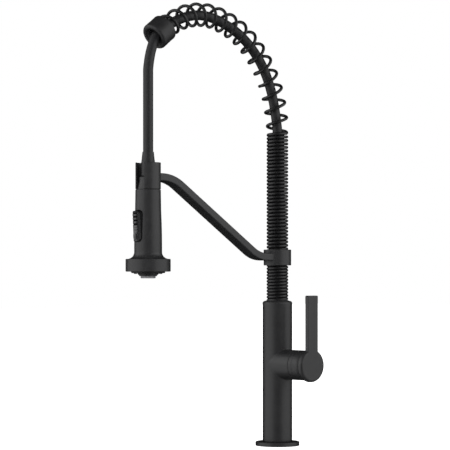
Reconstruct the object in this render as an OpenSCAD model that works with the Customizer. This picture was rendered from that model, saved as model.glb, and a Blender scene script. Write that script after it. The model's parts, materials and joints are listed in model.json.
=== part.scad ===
// Spring-neck pull-down kitchen faucet: a round column with a side lever, a coil-wrapped
// riser that arches forward, and a spray head that docks in a sleeve on a sloping arm.
// Millimetres. +Z is up, the spout reaches along -Y and the lever stands on the +X side.
// The origin is on the deck, on the axis of the column.

/* [Column] */
// Diameter of the column and of its side port
column_d = 36; // [35:0.5:37]
// Height of the column's shoulder above the deck
column_h = 172.4; // [170:0.2:176]
// Diameter of the deck flange
flange_d = 53.4; // [50:0.2:60]
// Thickness of the deck flange
flange_t = 4.8; // [3:0.1:6]
// Diameter of the threaded mounting shank
shank_d = 33; // [32:0.5:34]
// Length of the shank below the deck
shank_len = 46; // [40:1:60]

/* [Lever] */
// Height of the side port's axis above the deck
port_z = 98.7; // [96:0.1:102]
// Distance from the column's axis to the front of the hub
hub_x = 62; // [60:0.5:66]
// Diameter of the hub's flared front
hub_d = 39.2; // [38:0.2:42]
// Height of the lever's tip above the deck
lever_top = 182.5; // [160:0.5:190]
// Width of the lever bar
lever_w = 16.5; // [12:0.5:18]
// Thickness of the lever bar
lever_t = 5.5; // [4:0.5:7]

/* [Spout] */
// Distance from the column's axis to the spray head's axis
reach = 204.4; // [204:0.1:205]
// Outside diameter of the coil
coil_d = 26.1; // [25.8:0.1:26.2]
// Diameter of the coil's wire
wire_d = 3.4; // [3.1:0.1:3.4]
// Outside diameter of the hose
hose_d = 11.7; // [10:0.1:11.8]
// Height of the middle of the clamp collar
collar_z = 228.1; // [226:0.1:230]
// Outside diameter of the clamp collar
collar_d = 33.4; // [32:0.2:35]

/* [Docking arm] */
// Width of the arm across the spout
arm_w = 17.4; // [14:0.2:18]
// Thickness of the arm in the plane of the spout
arm_t = 8.8; // [8:0.2:10]
// Height of the arm where it meets the docking sleeve
arm_top_z = 320.4; // [319:0.2:322]
// Opening angle of the docking sleeve's slot
slot_angle = 64; // [56:1:70]

/* [Spray head] */
// Diameter of the head's grip at its top
head_d = 29.2; // [28.6:0.1:29.4]
// Diameter of the splash flange
splash_d = 51.8; // [50:0.2:54]
// Width of the rocker button
button_w = 13; // [12:0.2:13.4]
// Angle that the rocker button leans out at its top
button_lean = 3.4; // [2:0.2:3.6]

/* [Hidden] */

$fn = 96;
eps = 0.01;
fit = 0.05;      // running clearance, radial
gap = 0.35;      // visible gap between parts that move past each other
lap = 0.3;       // how far two stretches of one solid run into each other
chamfer = 0.4;

black = [0.09, 0.09, 0.095];
brass = [0.72, 0.58, 0.32];
steel = [0.72, 0.73, 0.75];
nylon = [0.85, 0.85, 0.82];
ceramic = [0.92, 0.9, 0.85];
rubber = [0.05, 0.05, 0.05];
grey = [0.53, 0.53, 0.54];

// Column
column_r = column_d / 2;
shoulder_h = 3.3;
shoulder_r = 14;
shoulder_round = 3;
column_top = column_h + shoulder_h;
chamber_r = 13;           // bore above the valve block
chamber_z = 114;
sump_r = 14.2;            // bore below the valve block
sump_z = 76;
seat_bore_r = 13.5;
seat_z = column_h + 0.5;
foot_spigot_r = 15.6;
shank_bore_r = 13;
shank_spigot_r = 14;      // the shank's upper end, inside the column
shank_spigot_h = 14;
gasket_in = 18.5;
gasket_out = 23.5;
gasket_t = 1.6;

// Hose; its lower stretch runs behind the cartridge and ends below the turning riser's clip
hose_r = hose_d / 2;
hose_side_x = -6.5;
hose_way_r = hose_r + 0.5;
hose_bend_x = -5;
hose_bend_r = 7;
hose_bend_z = 102;
hose_cut_z = 142;         // where the hose twists as the spout turns
hose_gap = 0.6;           // between its still part and its turning part
tail_in = 3.2;            // water way in the hose's end fitting

// Valve, with places along X measured from the column's axis
port_end = 36.5;
bore_floor = 9;
cart_r = 12.5;
cart_base = 10.2;
cart_base_t = 3.6;
cart_front = 30;
cart_lip = 1.6;
cart_room_r = 11;         // room for the discs and the carrier
cart_mouth_r = 9.2;
disc_t = 3.6;
fixed_x = cart_base + cart_base_t + fit;
moving_x = fixed_x + disc_t + fit;
moving_r = 7.6;
moving_t = 4.4;
disc_pocket = 4.6;        // square pocket for the stem's ball
carrier_x = 22.2;
carrier_t = 5.9;
nut_r = 15.1;
nut_in = 10;
nut_t = 4.3;
skirt_r = 15.15;
skirt_len = 1.8;
pivot_x = 26;
pivot_r = 1.5;
ring_front = 42;
dome_r = sqrt(pow(ring_front - pivot_x, 2) + pow(column_r, 2));
dome_hole_r = 14;
ball_x = 20.6;
ball_r = 2;
stem_r = 4;
stem_sq = 8;
stem_sq_x = 44;
stem_sq_len = 13;
stem_slot = 2 * stem_r + 0.3;
screw_x = 54;             // grub screw of the lever
screw_r = 2;
port_hole_r = 2.2;
port_x = 4.5;             // upright part of the water ways
PORTS = [-6.4, 0, 6.4];   // Y of the cold, mixed and hot water ways

// Spout
riser_r = 8.6;
riser_in = 7.2;
riser_bottom = 134;
groove_depth = 0.7;
FRICTION_Z = [148, 163];
friction_t = 1.4;
clip_z = riser_bottom + 0.6;
clip_r = 11.2;
clip_t = 1.1;
bush_bottom = 136.4;
wire_r = wire_d / 2;
coil_r = coil_d / 2 - wire_r;
arch_start = 379;
riser_top = arch_start - 2;
coil_seat_z = 176.2;
collar_h = 19.2;
collar_in = 13.9;
liner_in = 13.2;
drop_top = 440;
drop_bottom = 344;

// Route of the coil's axis in the spout's plane: [distance from the column's axis, height]
ARCH = [[0, 379], [1, 393], [3, 406.4], [6.2, 420], [11, 433.6], [17.6, 447.2], [25.8, 460.2],
    [36.2, 473], [48.9, 485.5], [64.3, 496.4], [81.8, 504.8], [100.4, 510.6], [119, 513],
    [137.5, 511.4], [157, 505.5], [179.4, 493.9]];
arch_swell = 0.8;         // by which the bent coil stands wider than the straight one
guide_len = 21.4;
guide_turn = 37.5;        // slope of the end guide below level
guide_start = ARCH[len(ARCH) - 1];
guide_end = guide_start + guide_len * [cos(guide_turn), -sin(guide_turn)];

// Routes of the hose in the same plane: behind the cartridge, through the arch, where it lies on
// the inside of the coil, and out of the end guide to the straight drop
HOSE_LOW = [[hose_side_x, -shank_len], [hose_side_x, 20], [hose_side_x, 80], [hose_side_x, 98],
    [-6, 106], [-4.7, 114], [-3, 121], [-1.4, 128], [-0.4, 134], [0, 139], [0, hose_cut_z]];
HOSE_ARCH = [[0, 379], [1.7, 393], [4.2, 406.2], [7.5, 419.8], [12, 433.4], [18.2, 447], [26, 460],
    [36.4, 472.6], [49.4, 484.7], [65, 495.3], [82.3, 503.3], [100.7, 509.3], [119, 512.1],
    [137.3, 510.8], [157, 505], [179.4, 493.9]];
HOSE_EXIT = [guide_end, [200.2, 472], [202.7, 461], [203.9, 452], [reach, 447], [reach, 443.5], [reach, drop_top]];

// Head
head_r = head_d / 2;
sleeve_r = head_r;
sleeve_in = 12.75;
sleeve_bottom = 306.2;
sleeve_top = 336.8;
shell_top = 305.8;
shell_wall = 2;
seam_z = 229;
seam_r = 17.8;
inner_r = 15.8;           // inside of the shell and of the splash flange at their seam
splash_r = splash_d / 2;
splash_top = 226.2;
splash_bottom = 211.6;
fillet_r = 8;
grip_r = 16;
grip_z = 242.2;
shell_low_z = 282.5;
shell_low_r = head_r + 0.36;
button_z = 264;
button_h = 35.2;
button_gap = 0.7;
button_front = 18;
button_back = 12;
button_round = 4.6;
pin_y = 11;
pin_r = 1;
pin_half = 8.9;
finger = 7;               // reach of the button's finger behind its pin
finger_r = 1.6;
neck_bottom = 296.1;
neck_r = 12.4;
tail_r = 5;
tail_bottom = 299;
tail_top = 321;
nut_joint_z = 343;        // end of the hose inside its nut
core_r = 8.6;
core_in = 6.2;
core_bottom = 217.1;
spool_r = core_in - fit;
face_z = 209.9;

function arc(cx, cy, r, a0, a1, n = 6) =
    [for (i = [0:n]) let (a = a0 + (a1 - a0) * i / n) [cx + r * cos(a), cy + r * sin(a)]];

// A rounded rectangle, centred, as an outline
function rounded(w, h, r) = concat(
    arc(w / 2 - r, h / 2 - r, r, 0, 90), arc(-w / 2 + r, h / 2 - r, r, 90, 180),
    arc(-w / 2 + r, -h / 2 + r, r, 180, 270), arc(w / 2 - r, -h / 2 + r, r, 270, 360));

// Points of a smooth curve through a list of points, with n steps between each pair
function spline_at(p, i, t) = let (
    m = len(p), p0 = p[max(i - 1, 0)], p1 = p[i], p2 = p[i + 1], p3 = p[min(i + 2, m - 1)])
    0.5 * (2 * p1 + (p2 - p0) * t + (2 * p0 - 5 * p1 + 4 * p2 - p3) * t * t
        + (3 * p1 - p0 - 3 * p2 + p3) * t * t * t);
function spline(p, n) = concat(
    [for (i = [0:len(p) - 2]) for (k = [0:n - 1]) spline_at(p, i, k / n)], [p[len(p) - 1]]);
function unit(v) = v / norm(v);
function spout(p) = [0, -p[0], p[1]];

module ring(r_out, r_in, h) {
    difference() {
        cylinder(r = r_out, h = h);
        translate([0, 0, -1]) cylinder(r = r_in, h = h + 2);
    }
}

// Places for parts whose axis lies along the side port or across it, and for those of the head
module along_x(x = 0, y = 0) {
    translate([x, y, port_z]) rotate([0, 90, 0]) children();
}

module across(x, half) {
    translate([x, -half, port_z]) rotate([-90, 0, 0]) children();
}

module at_head(z = 0) {
    translate([0, -reach, z]) children();
}

// A round tube along a list of points, closed at both ends
module sweep(path, r, sides, start_side = [1, 0, 0]) {
    n = len(path);
    tangents = [for (i = [0:n - 1]) unit(path[min(i + 1, n - 1)] - path[max(i - 1, 0)])];
    normals = [for (i = 0, v = unit(start_side - tangents[0] * (start_side * tangents[0]));
        i < n;
        i = i + 1, v = i < n ? unit(v - tangents[i] * (v * tangents[i])) : v) v];
    points = [for (i = [0:n - 1]) let (u = normals[i], w = cross(tangents[i], u))
        for (k = [0:sides - 1]) let (a = 360 * k / sides) path[i] + r * (cos(a) * u + sin(a) * w)];
    walls = [for (i = [0:n - 2]) for (k = [0:sides - 1]) let (
        a = i * sides + k, b = i * sides + (k + 1) % sides, c = a + sides, d = b + sides)
        each [[a, c, b], [b, c, d]]];
    first = [for (k = [1:sides - 2]) [0, k, k + 1]];
    last = [for (k = [1:sides - 2]) let (o = (n - 1) * sides) [o, o + k + 1, o + k]];
    polyhedron(points = points, faces = concat(walls, first, last), convexity = 10);
}

module deck_flange() {
    edge = 0.9;
    bore_r = foot_spigot_r + 0.1;
    color(black) difference() {
        rotate_extrude() polygon(concat(
            [[bore_r, 0], [flange_d / 2 - 0.3, 0], [flange_d / 2, 0.3]],
            arc(flange_d / 2 - edge, flange_t - edge, edge, 0, 90),
            [[bore_r, flange_t]]));
        translate([0, 0, -eps]) ring(gasket_out + 0.1, gasket_in - 0.1, gasket_t + 0.1);
    }
}

module deck_gasket() {
    color(rubber) ring(gasket_out, gasket_in, gasket_t);
}

module mounting_shank() {
    lead = 1;
    color(brass) rotate_extrude() polygon(
        [[shank_bore_r, -shank_len], [shank_d / 2 - lead, -shank_len], [shank_d / 2, lead - shank_len],
            [shank_d / 2, 0], [shank_spigot_r, 0], [shank_spigot_r, shank_spigot_h],
            [shank_bore_r, shank_spigot_h]]);
}

module column_body() {
    foot = flange_t + 0.05;
    color(black) difference() {
        union() {
            rotate_extrude() polygon(concat(
                [[0, foot], [column_r - chamfer, foot], [column_r, foot + chamfer]],
                [[column_r, column_h]],
                arc(column_r - shoulder_round, column_h, shoulder_round, 10, 68, 5),
                [[shoulder_r, column_top], [0, column_top]]));
            cylinder(r = foot_spigot_r, h = foot + 1);
            along_x() rotate_extrude() polygon(
                [[0, 0], [column_r, 0], [column_r, port_end - chamfer], [column_r - chamfer, port_end],
                    [0, port_end]]);
        }
        translate([0, 0, -1]) cylinder(r = sump_r, h = sump_z + 1);
        translate([0, 0, chamber_z]) cylinder(r = chamber_r, h = column_top);
        translate([0, 0, column_h]) cylinder(r = seat_bore_r, h = column_top);
        translate([hose_side_x, 0, sump_z - 1]) cylinder(r = hose_way_r, h = chamber_z - sump_z + 2);
        translate([hose_bend_x, 0, hose_bend_z]) cylinder(r = hose_bend_r, h = chamber_z - hose_bend_z + 1);
        along_x(bore_floor) cylinder(r = cart_r + 0.1, h = port_end);
        along_x(cart_front - 2) cylinder(r = skirt_r + fit, h = port_end);
        for (y = PORTS) {
            translate([port_x, y, sump_z - 1]) cylinder(r = port_hole_r, h = port_z - sump_z + 1);
            along_x(port_x, y) cylinder(r = port_hole_r, h = bore_floor);
        }
    }
}

module swivel_bush() {
    color(nylon) translate([0, 0, bush_bottom])
        ring(chamber_r - 0.02, riser_r + fit, column_h - bush_bottom);
}

module hose_lower() {
    color(rubber) sweep([for (p = spline(HOSE_LOW, 2)) [p[0], 0, p[1]]], hose_r, 12);
}

module cartridge_shell() {
    room_x = cart_base + cart_base_t;
    color(nylon) difference() {
        along_x(cart_base) cylinder(r = cart_r, h = cart_front - cart_base);
        along_x(room_x) cylinder(r = cart_room_r, h = cart_front - cart_lip - room_x);
        along_x(room_x) cylinder(r = cart_mouth_r, h = cart_front);
        for (y = PORTS) along_x(0, y) cylinder(r = port_hole_r, h = cart_front);
    }
}

module port_seals() {
    color(rubber) for (y = PORTS)
        along_x(bore_floor, y) ring(port_hole_r + 0.8, port_hole_r, cart_base - bore_floor);
}

module fixed_disc() {
    color(ceramic) difference() {
        along_x(fixed_x) cylinder(r = cart_room_r - 0.1, h = disc_t);
        for (y = PORTS) along_x(0, y) cylinder(r = port_hole_r, h = cart_front);
    }
}

module cartridge_nut() {
    notch = 3;
    notch_r = 11.6;
    color(brass) difference() {
        along_x(cart_front + fit) cylinder(r = nut_r, h = nut_t);
        along_x(cart_front - 1) cylinder(r = nut_in, h = nut_t + 2);
        for (a = [0:60:300]) translate([cart_front + notch, 0, port_z]) rotate([a, 0, 0])
            translate([0, -notch / 2, notch_r]) cube([nut_t, notch, nut_r]);
    }
}

// The ring screwed into the port's mouth; its face is part of a sphere about the lever's pivot
module dome_ring() {
    spread = asin(column_r / dome_r);
    hole_at = asin(dome_hole_r / dome_r);
    back = port_end + 0.1 - pivot_x;
    color(black) along_x(pivot_x) rotate_extrude() polygon(concat(
        [[dome_hole_r, back - skirt_len], [skirt_r, back - skirt_len], [skirt_r, back]],
        [[column_r - chamfer, back], [column_r, back + chamfer]],
        [for (i = [0:8]) let (a = spread + (hole_at - spread) * i / 8) dome_r * [sin(a), cos(a)]]));
}

module lever_carrier() {
    slot_h = 2 * 8.2;
    color(nylon) difference() {
        along_x(carrier_x) cylinder(r = cart_room_r - fit, h = carrier_t);
        translate([carrier_x - 1, -stem_slot / 2, port_z - slot_h / 2])
            cube([carrier_t + 2, stem_slot, slot_h]);
        across(pivot_x, cart_r) cylinder(r = pivot_r, h = 2 * cart_r);
    }
}

module pivot_pin() {
    half = 10.5;
    color(steel) across(pivot_x, half) cylinder(r = pivot_r, h = 2 * half);
}

module moving_disc() {
    pocket_x = 18.4;
    groove = [1.6, 8, 1.6];
    color(ceramic) difference() {
        along_x(moving_x) cylinder(r = moving_r, h = moving_t);
        translate([pocket_x, -disc_pocket / 2, port_z - disc_pocket / 2])
            cube([moving_t, disc_pocket, disc_pocket]);
        translate([moving_x - 1, -groove[1] / 2, port_z - 4]) cube(groove);
    }
}

module lever_stem() {
    collar_x = 23.6;
    neck = 1.6;
    color(brass) difference() {
        union() {
            along_x(ball_x) sphere(r = ball_r);
            along_x(ball_x) cylinder(r = neck, h = collar_x - ball_x + 1);
            along_x(collar_x) cylinder(r = stem_r, h = stem_sq_x + 1 - collar_x);
            translate([stem_sq_x, -stem_sq / 2, port_z - stem_sq / 2]) cube([stem_sq_len, stem_sq, stem_sq]);
        }
        across(pivot_x, 10) cylinder(r = pivot_r + fit, h = 20);
    }
}

module lever_handle() {
    hub_r = hub_d / 2;
    round_r = 3.2;
    rear = 42.2;
    flare_x = hub_x - 14;
    flare_r = 22;
    socket = stem_sq + 2 * fit;
    color(black) difference() {
        union() {
            along_x() rotate_extrude() polygon(concat(
                [[0, rear], [column_r - 0.2, rear], [column_r, rear + 0.3], [column_r, flare_x]],
                arc(column_r + flare_r, flare_x, flare_r, 180, 157, 5),
                [[hub_r, hub_x - round_r - 1]],
                arc(hub_r - round_r, hub_x - round_r, round_r, 0, 90, 8),
                [[0, hub_x]]));
            translate([hub_x - lever_t, 0, port_z]) lever_bar(lever_top - port_z);
        }
        translate([pivot_x, 0, port_z]) sphere(r = dome_r + gap, $fn = 128);
        translate([rear - 2, -socket / 2, port_z - socket / 2])
            cube([stem_sq_x + stem_sq_len + 0.1 - rear + 2, socket, socket]);
        translate([screw_x, 0, port_z - hub_r - 1]) cylinder(r = screw_r + fit, h = hub_r);
    }
}

// The bar stands up from the hub's axis, with its front face at the hub's front
module lever_bar(h) {
    edge = 0.7;
    corner = 2.2;
    half = lever_w / 2;
    intersection() {
        linear_extrude(h) translate([lever_t / 2, 0]) polygon(rounded(lever_t, lever_w, edge));
        rotate([90, 0, 90]) linear_extrude(lever_t + 2) polygon(concat(
            [[half + 1, 0], [half + 1, h - corner - 1]],
            arc(half - corner, h - corner, corner, 0, 90),
            arc(corner - half, h - corner, corner, 90, 180),
            [[-half - 1, h - corner - 1], [-half - 1, 0]]));
    }
}

module handle_screw() {
    length = 8.5;
    bottom = port_z - stem_sq / 2 - length - 0.1;
    color(steel) difference() {
        translate([screw_x, 0, bottom]) cylinder(r = screw_r, h = length);
        translate([screw_x, 0, bottom - 0.1]) cylinder(r = 1.2, h = 2.6, $fn = 6);
    }
}

module riser_tube() {
    color(brass) difference() {
        translate([0, 0, riser_bottom]) cylinder(r = riser_r, h = riser_top - riser_bottom);
        cylinder(r = riser_in, h = arch_start);
        for (z = FRICTION_Z) translate([0, 0, z]) ring(riser_r + 1, riser_r - groove_depth, friction_t + 0.2);
        translate([0, 0, clip_z]) ring(riser_r + 1, riser_r - groove_depth, clip_t + 0.2);
    }
}

module friction_rings() {
    color(rubber) for (z = FRICTION_Z)
        translate([0, 0, z + 0.1]) ring(riser_r + 0.02, riser_r + fit - groove_depth, friction_t);
}

module retaining_clip() {
    mouth = 6;
    color(steel) difference() {
        translate([0, 0, clip_z + 0.1]) ring(clip_r, riser_r + fit - groove_depth, clip_t);
        translate([0, -mouth / 2, clip_z - 1]) cube([clip_r + 1, mouth, clip_t + 2]);
    }
}

// Arc length along the coil's axis, measured from the foot of its lower leg
coil_foot = seat_z + 0.75;
AXIS = spline(ARCH, 6);
AXIS_LENGTH = [for (i = 0, sum = arch_start - coil_foot; i < len(AXIS);
    i = i + 1, sum = i < len(AXIS) ? sum + norm(AXIS[i] - AXIS[i - 1]) : sum) sum];
axis_end = AXIS_LENGTH[len(AXIS) - 1];
coil_end = axis_end + 7;
S_OF = [for (i = [0:len(AXIS) - 1]) [AXIS_LENGTH[i], AXIS[i][0]]];
Z_OF = [for (i = [0:len(AXIS) - 1]) [AXIS_LENGTH[i], AXIS[i][1]]];
H_OF = [for (i = [0:len(AXIS) - 1]) let (d = AXIS[min(i + 1, len(AXIS) - 1)] - AXIS[max(i - 1, 0)])
    [AXIS_LENGTH[i], atan2(d[1], d[0])]];

// Turns of the coil against the length of axis that they take up, between two straight legs
leg = wire_d;
coil_turns = 63.5;
coil_start_angle = 60;
TURN_TABLE = [[0, leg + 1.2], [10.7, 45.7], [14.9, 64.8], [47.9, 205], [56.2, 351.4], [59.2, 401.6],
    [coil_turns, coil_end - leg - 1.2]];
RADIUS_TABLE = [[205, coil_r], [225, coil_r + arch_swell]];

function on_axis(l) = l <= AXIS_LENGTH[0] ? [[0, coil_foot + l], 90]
    : l >= axis_end ? [guide_start + (l - axis_end) * [cos(guide_turn), -sin(guide_turn)], -guide_turn]
    : [[lookup(l, S_OF), lookup(l, Z_OF)], lookup(l, H_OF)];
function coil_point(l, a) = let (c = on_axis(l), h = c[1])
    spout(c[0]) + lookup(l, RADIUS_TABLE) * (cos(a) * [1, 0, 0] + sin(a) * [0, sin(h), cos(h)]);

first_angle = coil_start_angle + 8;
last_angle = first_angle + 8 + coil_turns * 360;
COIL = concat(
    [coil_point(0, coil_start_angle), coil_point(leg, coil_start_angle)],
    [for (i = [0:coil_turns * 8]) coil_point(lookup(i / 8, TURN_TABLE), first_angle + i * 45)],
    [coil_point(coil_end - leg, last_angle), coil_point(coil_end, last_angle)]);
coil_gap = min([for (i = [0:len(COIL) - 14]) for (k = [5:12]) norm(COIL[i] - COIL[i + k])]) - wire_d;
echo(coil_gap = coil_gap, coil_rings = len(COIL));

module coil_spring() {
    color(black) sweep(COIL, wire_r, 6, [0, 1, 0]);
}

// The coil stands on this ring, with its lower leg in a hole of it
module spring_seat() {
    color(black) difference() {
        translate([0, 0, seat_z]) ring(seat_bore_r - 0.1, riser_r + 0.02, coil_seat_z - seat_z);
        rotate([0, 0, coil_start_angle]) translate([coil_r, 0, coil_foot - fit])
            cylinder(r = wire_r + fit, h = coil_seat_z);
    }
}

module hose_upper() {
    low = [[0, hose_cut_z + hose_gap], [0, 220], [0, 300]];
    color(rubber) sweep([for (p = spline(concat(low, HOSE_ARCH, HOSE_EXIT), 2)) spout(p)], hose_r, 12);
}

module at_guide(z = 0) {
    translate(spout(guide_start)) rotate([90 + guide_turn, 0, 0]) translate([0, 0, z]) children();
}

// The coil ends in the guide's socket; the hose leaves by its rounded mouth
module end_guide() {
    socket_r = coil_d / 2 + arch_swell + 0.3;
    socket_h = 7.1;
    brim = 1.1;
    mouth_r = 16.4;
    lip = 3;
    inner_lip = 1.4;
    hole_r = 11;
    throat_r = 7.5;
    color(black) at_guide() rotate_extrude() polygon(concat(
        [[socket_r, 0], [socket_r + brim, 0]],
        arc(socket_r + brim, brim, brim, 300, 360, 3),
        [[mouth_r - 0.2, 6], [mouth_r, guide_len - lip - 1]],
        arc(mouth_r - lip, guide_len - lip, lip, 0, 90, 8),
        arc(hole_r + inner_lip, guide_len - inner_lip, inner_lip, 90, 180, 4),
        [[hole_r - 0.7, guide_len - 4], [throat_r + 0.6, guide_len - 8], [throat_r, guide_len - 10]],
        [[throat_r, socket_h], [socket_r, socket_h]]));
}

module guide_liner() {
    wall_out = 7.4;
    bore_r = hose_r + 0.8;
    length = 6.6;
    color(nylon) at_guide(7.2) rotate_extrude() polygon(
        [[bore_r, 0], [wall_out, 0], [wall_out, length], [bore_r + 0.5, length], [bore_r, length - 1]]);
}

module clamp_collar() {
    r = collar_d / 2;
    edge = 0.8;
    color(black) difference() {
        translate([0, 0, collar_z - collar_h / 2]) rotate_extrude() polygon(concat(
            [[collar_in, 0], [r - edge, 0]], arc(r - edge, edge, edge, 270, 360, 4),
            arc(r - edge, collar_h - edge, edge, 0, 90, 4), [[collar_in, collar_h]]));
        translate([0, 0, collar_z]) rotate([-90, 0, 0]) cylinder(r = screw_r + fit, h = collar_d);
    }
}

module collar_liner() {
    color(nylon) translate([0, 0, collar_z - collar_h / 2 + 0.8])
        ring(collar_in - 0.02, liner_in, collar_h - 1.6);
}

module collar_screw() {
    color(steel) difference() {
        translate([0, collar_in + fit, collar_z]) rotate([-90, 0, 0]) cylinder(r = screw_r, h = 2.5);
        translate([0, collar_in + 1, collar_z]) rotate([-90, 0, 0]) cylinder(r = 1.1, h = 4, $fn = 6);
    }
}

// The arm: level at the collar, up a straight slope, and level again at the sleeve
arm_low_r = 42;
arm_high_r = 53;
arm_s0 = 23;
arm_s1 = reach - 15.5;
arm_z0 = collar_z + 0.7;
arm_span = arm_s1 - arm_s0;
arm_rise = arm_top_z - arm_z0;
arm_bends = arm_low_r + arm_high_r;
arm_slope = asin(arm_bends / norm([arm_span, arm_rise - arm_bends])) + atan2(arm_rise - arm_bends, arm_span);
arm_straight = (arm_span - arm_bends * sin(arm_slope)) / cos(arm_slope);

module arm_section(inset = 0) {
    corner = 1.4;
    polygon(rounded(arm_t - 2 * inset, arm_w - 2 * inset, corner - inset));
}

module arm_turn(s, z, r, from) {
    translate([0, -s, z]) rotate([90, 0, 90]) rotate([0, 0, from])
        rotate_extrude(angle = arm_slope) translate([r, 0]) arm_section();
}

// A straight stretch runs into the turns at its ends, a hair slimmer than they are
module arm_stretch(s, z, slope, length) {
    translate([0, -s, z]) rotate([90 - slope, 0, 0]) rotate([0, 0, 90])
        translate([0, 0, -lap]) linear_extrude(length + 2 * lap) arm_section(eps);
}

module docking_arm() {
    grip = 9;
    color(black) difference() {
        union() {
            arm_turn(arm_s0, arm_z0 + arm_low_r, arm_low_r, -90 - arm_slope);
            arm_turn(arm_s1, arm_top_z - arm_high_r, arm_high_r, 90 - arm_slope);
            arm_stretch(arm_s0 + arm_low_r * sin(arm_slope), arm_z0 + arm_low_r * (1 - cos(arm_slope)),
                arm_slope, arm_straight);
            arm_stretch(arm_s0 - grip, arm_z0, 0, grip);
            arm_stretch(arm_s1, arm_top_z, 0, grip / 2);
        }
        translate([0, 0, collar_z - collar_h]) cylinder(r = collar_d / 2 - 0.03, h = 2 * collar_h);
        at_head(sleeve_bottom - 10) cylinder(r = sleeve_r - 0.03, h = 60);
    }
}

module docking_sleeve() {
    edge = 0.6;
    color(black) at_head() rotate([0, 0, -90 + slot_angle / 2]) rotate_extrude(angle = 360 - slot_angle)
        polygon(concat(
            [[sleeve_in, sleeve_bottom + chamfer], [sleeve_in + chamfer, sleeve_bottom]],
            arc(sleeve_r - edge, sleeve_bottom + edge, edge, 270, 360, 3),
            arc(sleeve_r - edge, sleeve_top - edge, edge, 0, 90, 3),
            [[sleeve_in + chamfer, sleeve_top], [sleeve_in, sleeve_top - chamfer]]));
}

module hose_drop() {
    color(rubber) at_head(drop_bottom) cylinder(r = hose_r, h = drop_top - drop_bottom);
}

// The nut at the hose's end: a plain barrel that tapers in steps to the hose
module hose_nut() {
    barrel_r = 8.35;
    barrel_top = 334;
    waist = [7.5, 340];
    cuff = [6.9, 346];
    top = 349;
    way = hose_r + 0.1;
    color(black) at_head() rotate_extrude() polygon(
        [[tail_in, tail_top], [barrel_r - 0.6, tail_top], [barrel_r, tail_top + 0.6], [barrel_r, barrel_top],
            waist, cuff, [way + 0.6, top], [way, top], [way, nut_joint_z], [tail_in, nut_joint_z]]);
}

module swivel_tail() {
    groove = 0.8;
    color(brass) at_head() rotate_extrude() polygon(
        [[tail_in, tail_bottom], [tail_r - chamfer, tail_bottom], [tail_r, tail_bottom + chamfer],
            [tail_r, 309], [tail_r - groove, 309], [tail_r - groove, 311], [tail_r, 311],
            [tail_r, tail_top], [tail_in, tail_top]]);
}

module swivel_ring() {
    color(rubber) at_head(309.2) ring(tail_r + 0.02, tail_r - 0.75, 1.6);
}

module head_neck() {
    bore_r = tail_r + fit;
    top = tail_top - 0.4;
    spigot_r = 10.4;
    color(black) at_head() rotate_extrude() polygon(
        [[bore_r, tail_bottom], [bore_r, top], [spigot_r - 1, top], [spigot_r - 0.2, top - 0.8],
            [spigot_r, 315], [neck_r, 307], [neck_r, neck_bottom], [bore_r + 1.75, neck_bottom],
            [bore_r + 1.75, tail_bottom - 1]]);
}

module head_shell() {
    color(black) difference() {
        at_head() rotate_extrude() polygon(concat(
            [[neck_r + 0.05, shell_top], [head_r - chamfer, shell_top], [head_r, shell_top - chamfer]],
            [[shell_low_r, shell_low_z], [grip_r - 0.4, 266], [grip_r - 0.1, 253.7], [grip_r, grip_z]],
            arc(grip_r + fillet_r, splash_top + fillet_r, fillet_r, 180, 219, 6),
            [[seam_r, seam_z + 0.05], [inner_r, seam_z + 0.05], [inner_r - 1.4, seam_z + 5]],
            [[grip_r - shell_wall, grip_z], [shell_low_r - shell_wall, shell_low_z]],
            [[neck_r + 0.05, shell_low_z + 11.5]]));
        at_head(button_z) translate([0, -core_r - 0.7, 0]) rotate([90, 0, 0]) linear_extrude(splash_r)
            polygon(rounded(button_w + 2 * chamfer, button_h + 2 * button_gap, button_round + chamfer));
        at_head(button_z) translate([-pin_half - 0.1, -pin_y, 0]) rotate([0, 90, 0])
            cylinder(r = pin_r + eps, h = 2 * pin_half + 0.2);
    }
}

module head_core() {
    slot = [4.2, 10, 6];
    color(nylon) difference() {
        at_head(core_bottom) cylinder(r = core_r, h = neck_bottom - 0.1 - core_bottom);
        at_head(core_bottom - 1) cylinder(r = core_in, h = neck_bottom);
        at_head(button_z) translate([-slot[0] / 2, -slot[1] - 2, -slot[2] / 2]) cube(slot);
    }
}

module check_valve() {
    length = 9;
    color(nylon) at_head(283) difference() {
        cylinder(r = core_in - 0.02, h = length);
        translate([0, 0, -1]) cylinder(r = 2.2, h = length + 2);
        translate([0, 0, length - 3]) cylinder(r = 4.6, h = 4);
    }
}

// The spool carries the button's finger in its groove
module diverter_spool() {
    groove = 2 * finger_r + 1.4;
    below = 26;
    length = 40;
    color(brass) at_head(button_z) difference() {
        translate([0, 0, -below]) cylinder(r = spool_r, h = length);
        translate([0, 0, finger * sin(button_lean) - groove / 2]) ring(spool_r + 1, 3, groove);
        translate([0, 0, -below - 1]) cylinder(r = 2, h = 14);
    }
}

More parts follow.
